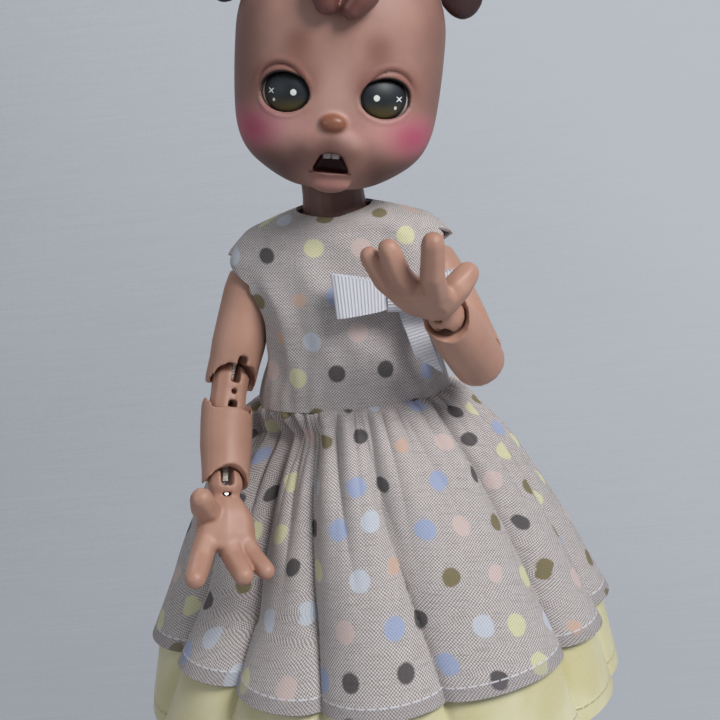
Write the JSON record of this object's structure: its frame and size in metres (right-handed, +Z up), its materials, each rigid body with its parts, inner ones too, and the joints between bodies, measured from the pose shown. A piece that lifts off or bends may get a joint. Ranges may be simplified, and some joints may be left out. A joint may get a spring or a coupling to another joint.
{
  "type": "ball jointed doll",
  "caption": "Ball jointed doll in a gathered, dotted dress over a petticoat: elastic strung limbs with double elbows and knees, a hollow head with a magnet cap, and a ribbon bow.",
  "frame": {"origin": "the floor under the middle of the doll's bounding box, with the soles of both feet on z = 0", "axes": "+Z up, the doll faces -Y, and its own left side is at +X"},
  "size_m": [0.1206, 0.1206, 0.2604],
  "materials": {
    "mocha_resin": "smooth cast resin, satin",
    "dark_brown_resin": "dark painted resin, satin gloss",
    "olive_eye": "polished dark olive",
    "dotted_linen": "printed plain weave",
    "yellow_sateen": "soft sateen",
    "grosgrain_ribbon": "ribbed ribbon",
    "white_elastic": "braided round elastic",
    "steel_hook": "bright bent wire",
    "nickel_magnet": "nickel plated"
  },
  "bodies": {
    "torso": {"torso": "mocha_resin", "arm_elastic": "white_elastic", "leg_elastic": "white_elastic", "dress_bodice": "dotted_linen", "dress_skirt": "dotted_linen", "petticoat": "yellow_sateen", "bow_loop_left": "grosgrain_ribbon", "bow_loop_right": "grosgrain_ribbon", "bow_knot": "grosgrain_ribbon", "bow_tail_left": "grosgrain_ribbon", "bow_tail_right": "grosgrain_ribbon"},
    "neck_string": {"neck_elastic": "white_elastic"},
    "neck_hook": {"neck_hook": "steel_hook"},
    "head": {"head_shell": "mocha_resin", "eye_left": "olive_eye", "eye_right": "olive_eye", "head_magnet_front": "nickel_magnet", "head_magnet_back": "nickel_magnet"},
    "head_cap": {"head_cap": "mocha_resin", "forelock": "dark_brown_resin", "ear_left": "dark_brown_resin", "ear_right": "dark_brown_resin", "cap_magnet_front": "nickel_magnet", "cap_magnet_back": "nickel_magnet"},
    "shoulder_ball_right": {"shoulder_ball_right": "mocha_resin"},
    "upper_arm_string_right": {"upper_arm_elastic_right": "white_elastic"},
    "upper_arm_right": {"upper_arm_right": "mocha_resin"},
    "elbow_joint_right": {"elbow_joint_right": "mocha_resin", "elbow_joint_elastic_right": "white_elastic"},
    "forearm_right": {"forearm_right": "mocha_resin"},
    "forearm_string_right": {"forearm_elastic_right": "white_elastic"},
    "hand_right": {"wrist_hook_right": "steel_hook", "hand_right": "mocha_resin"},
    "hip_ball_right": {"hip_ball_right": "mocha_resin"},
    "thigh_string_right": {"thigh_elastic_right": "white_elastic"},
    "thigh_right": {"thigh_right": "mocha_resin"},
    "knee_joint_right": {"knee_joint_right": "mocha_resin", "knee_joint_elastic_right": "white_elastic"},
    "shin_right": {"shin_right": "mocha_resin"},
    "shin_string_right": {"shin_elastic_right": "white_elastic"},
    "foot_right": {"ankle_hook_right": "steel_hook", "foot_right": "mocha_resin"},
    "shoulder_ball_left": {"shoulder_ball_left": "mocha_resin"},
    "upper_arm_string_left": {"upper_arm_elastic_left": "white_elastic"},
    "upper_arm_left": {"upper_arm_left": "mocha_resin"},
    "elbow_joint_left": {"elbow_joint_left": "mocha_resin", "elbow_joint_elastic_left": "white_elastic"},
    "forearm_left": {"forearm_left": "mocha_resin"},
    "forearm_string_left": {"forearm_elastic_left": "white_elastic"},
    "hand_left": {"wrist_hook_left": "steel_hook", "hand_left": "mocha_resin"},
    "hip_ball_left": {"hip_ball_left": "mocha_resin"},
    "thigh_string_left": {"thigh_elastic_left": "white_elastic"},
    "thigh_left": {"thigh_left": "mocha_resin"},
    "knee_joint_left": {"knee_joint_left": "mocha_resin", "knee_joint_elastic_left": "white_elastic"},
    "shin_left": {"shin_left": "mocha_resin"},
    "shin_string_left": {"shin_elastic_left": "white_elastic"},
    "foot_left": {"ankle_hook_left": "steel_hook", "foot_left": "mocha_resin"}
  },
  "joints": [
    {"name": "neck_turn", "type": "hinge", "parent": "torso", "child": "neck_string", "pos_m": [0, 0, 0.199], "axis": [0, 0, 1], "range_deg": [-60, 60]},
    {"name": "neck_nod", "type": "hinge", "parent": "neck_string", "child": "neck_hook", "pos_m": [0, 0, 0.199], "axis": [1, 0, 0], "range_deg": [-18, 7]},
    {"name": "neck_tilt", "type": "hinge", "parent": "neck_hook", "child": "head", "pos_m": [0, 0, 0.199], "axis": [0, 1, 0], "range_deg": [-22, 2]},
    {"name": "head_cap_lift", "type": "slide", "parent": "head", "child": "head_cap", "axis": [0.1661, 0.2924, 0.9418], "range_m": [0, 0.03]},
    {"name": "shoulder_swing_right", "type": "hinge", "parent": "torso", "child": "shoulder_ball_right", "pos_m": [-0.02, 0, 0.181], "axis": [-1, 0, 0], "range_deg": [-26.1, 85.9], "deforming": ["dress_bodice"]},
    {"name": "shoulder_lift_right", "type": "hinge", "parent": "shoulder_ball_right", "child": "upper_arm_string_right", "pos_m": [-0.02, 0, 0.181], "axis": [0, 0.9699, -0.2436], "range_deg": [-4.9, 62.1]},
    {"name": "upper_arm_turn_right", "type": "hinge", "parent": "upper_arm_string_right", "child": "upper_arm_right", "pos_m": [-0.02, 0, 0.181], "axis": [0.3074, 0.2318, 0.9229], "range_deg": [-72.7, 22.3]},
    {"name": "elbow_upper_right", "type": "hinge", "parent": "upper_arm_right", "child": "elbow_joint_right", "pos_m": [-0.02922, -0.00696, 0.15331], "axis": [0.8425, 0.3845, -0.3772], "range_deg": [-42.25, 16.25]},
    {"name": "elbow_lower_right", "type": "hinge", "parent": "elbow_joint_right", "child": "forearm_right", "pos_m": [-0.03032, -0.00998, 0.14778], "axis": [0.8425, 0.3845, -0.3772], "range_deg": [-42.25, 16.25]},
    {"name": "wrist_turn_right", "type": "hinge", "parent": "forearm_right", "child": "forearm_string_right", "pos_m": [-0.03076, -0.02383, 0.13267], "axis": [0.0216, 0.6756, 0.7369], "range_deg": [-67.9, 92.1]},
    {"name": "wrist_bend_right", "type": "hinge", "parent": "forearm_string_right", "child": "hand_right", "pos_m": [-0.03076, -0.02383, 0.13267], "axis": [0.9366, 0.2441, -0.2512], "range_deg": [-58.4, 41.6]},
    {"name": "hip_swing_right", "type": "hinge", "parent": "torso", "child": "hip_ball_right", "pos_m": [-0.0115, 0, 0.109], "axis": [-1, 0, 0], "range_deg": [-12, 80], "deforming": ["dress_skirt", "petticoat"]},
    {"name": "hip_spread_right", "type": "hinge", "parent": "hip_ball_right", "child": "thigh_string_right", "pos_m": [-0.0115, 0, 0.109], "axis": [0, 1, 0], "range_deg": [0, 26]},
    {"name": "thigh_turn_right", "type": "hinge", "parent": "thigh_string_right", "child": "thigh_right", "pos_m": [-0.0115, 0, 0.109], "axis": [0, 0, 1], "range_deg": [-45, 9]},
    {"name": "knee_upper_right", "type": "hinge", "parent": "thigh_right", "child": "knee_joint_right", "pos_m": [-0.0115, 0, 0.063], "axis": [1, 0, 0], "range_deg": [0, 58.5]},
    {"name": "knee_lower_right", "type": "hinge", "parent": "knee_joint_right", "child": "shin_right", "pos_m": [-0.0115, 0, 0.055], "axis": [1, 0, 0], "range_deg": [0, 58.5]},
    {"name": "ankle_turn_right", "type": "hinge", "parent": "shin_right", "child": "shin_string_right", "pos_m": [-0.0115, 0, 0.016], "axis": [0, 0, 1], "range_deg": [-40, 9]},
    {"name": "ankle_bend_right", "type": "hinge", "parent": "shin_string_right", "child": "foot_right", "pos_m": [-0.0115, 0, 0.016], "axis": [1, 0, 0], "range_deg": [-25, 38]},
    {"name": "shoulder_swing_left", "type": "hinge", "parent": "torso", "child": "shoulder_ball_left", "pos_m": [0.02, 0, 0.181], "axis": [-1, 0, 0], "range_deg": [-40.8, 21.2], "deforming": ["bow_loop_left", "bow_loop_right", "bow_knot", "bow_tail_left", "bow_tail_right"]},
    {"name": "shoulder_lift_left", "type": "hinge", "parent": "shoulder_ball_left", "child": "upper_arm_string_left", "pos_m": [0.02, 0, 0.181], "axis": [0, -0.8763, 0.4818], "range_deg": [-7.5, 59.5]},
    {"name": "upper_arm_turn_left", "type": "hinge", "parent": "upper_arm_string_left", "child": "upper_arm_left", "pos_m": [0.02, 0, 0.181], "axis": [0.3502, -0.4512, -0.8208], "range_deg": [-56.9, 38.1]},
    {"name": "elbow_upper_left", "type": "hinge", "parent": "upper_arm_left", "child": "elbow_joint_left", "pos_m": [0.03051, -0.01354, 0.15638], "axis": [0.9165, -0.0156, 0.3996], "range_deg": [-2, 56.5]},
    {"name": "elbow_lower_left", "type": "hinge", "parent": "elbow_joint_left", "child": "forearm_left", "pos_m": [0.03071, -0.01989, 0.15565], "axis": [0.9165, -0.0156, 0.3996], "range_deg": [-2, 56.5]},
    {"name": "wrist_turn_left", "type": "hinge", "parent": "forearm_left", "child": "forearm_string_left", "pos_m": [0.02426, -0.03312, 0.16993], "axis": [-0.3146, -0.645, 0.6964], "range_deg": [-45.4, 114.6]},
    {"name": "wrist_bend_left", "type": "hinge", "parent": "forearm_string_left", "child": "hand_left", "pos_m": [0.02426, -0.03312, 0.16993], "axis": [0.8946, -0.4467, -0.0095], "range_deg": [-60.5, 39.5]},
    {"name": "hip_swing_left", "type": "hinge", "parent": "torso", "child": "hip_ball_left", "pos_m": [0.0115, 0, 0.109], "axis": [-1, 0, 0], "range_deg": [-12, 80], "deforming": ["dress_skirt", "petticoat"]},
    {"name": "hip_spread_left", "type": "hinge", "parent": "hip_ball_left", "child": "thigh_string_left", "pos_m": [0.0115, 0, 0.109], "axis": [0, -1, 0], "range_deg": [0, 26]},
    {"name": "thigh_turn_left", "type": "hinge", "parent": "thigh_string_left", "child": "thigh_left", "pos_m": [0.0115, 0, 0.109], "axis": [0, 0, -1], "range_deg": [-45, 9]},
    {"name": "knee_upper_left", "type": "hinge", "parent": "thigh_left", "child": "knee_joint_left", "pos_m": [0.0115, 0, 0.063], "axis": [1, 0, 0], "range_deg": [0, 58.5]},
    {"name": "knee_lower_left", "type": "hinge", "parent": "knee_joint_left", "child": "shin_left", "pos_m": [0.0115, 0, 0.055], "axis": [1, 0, 0], "range_deg": [0, 58.5]},
    {"name": "ankle_turn_left", "type": "hinge", "parent": "shin_left", "child": "shin_string_left", "pos_m": [0.0115, 0, 0.016], "axis": [0, 0, -1], "range_deg": [-40, 9]},
    {"name": "ankle_bend_left", "type": "hinge", "parent": "shin_string_left", "child": "foot_left", "pos_m": [0.0115, 0, 0.016], "axis": [1, 0, 0], "range_deg": [-25, 38]}
  ],
  "couplings": [
    {"joint": "elbow_lower_right", "follows": "elbow_upper_right", "ratio": 1},
    {"joint": "knee_lower_right", "follows": "knee_upper_right", "ratio": 1},
    {"joint": "elbow_lower_left", "follows": "elbow_upper_left", "ratio": 1},
    {"joint": "knee_lower_left", "follows": "knee_upper_left", "ratio": 1}
  ]
}
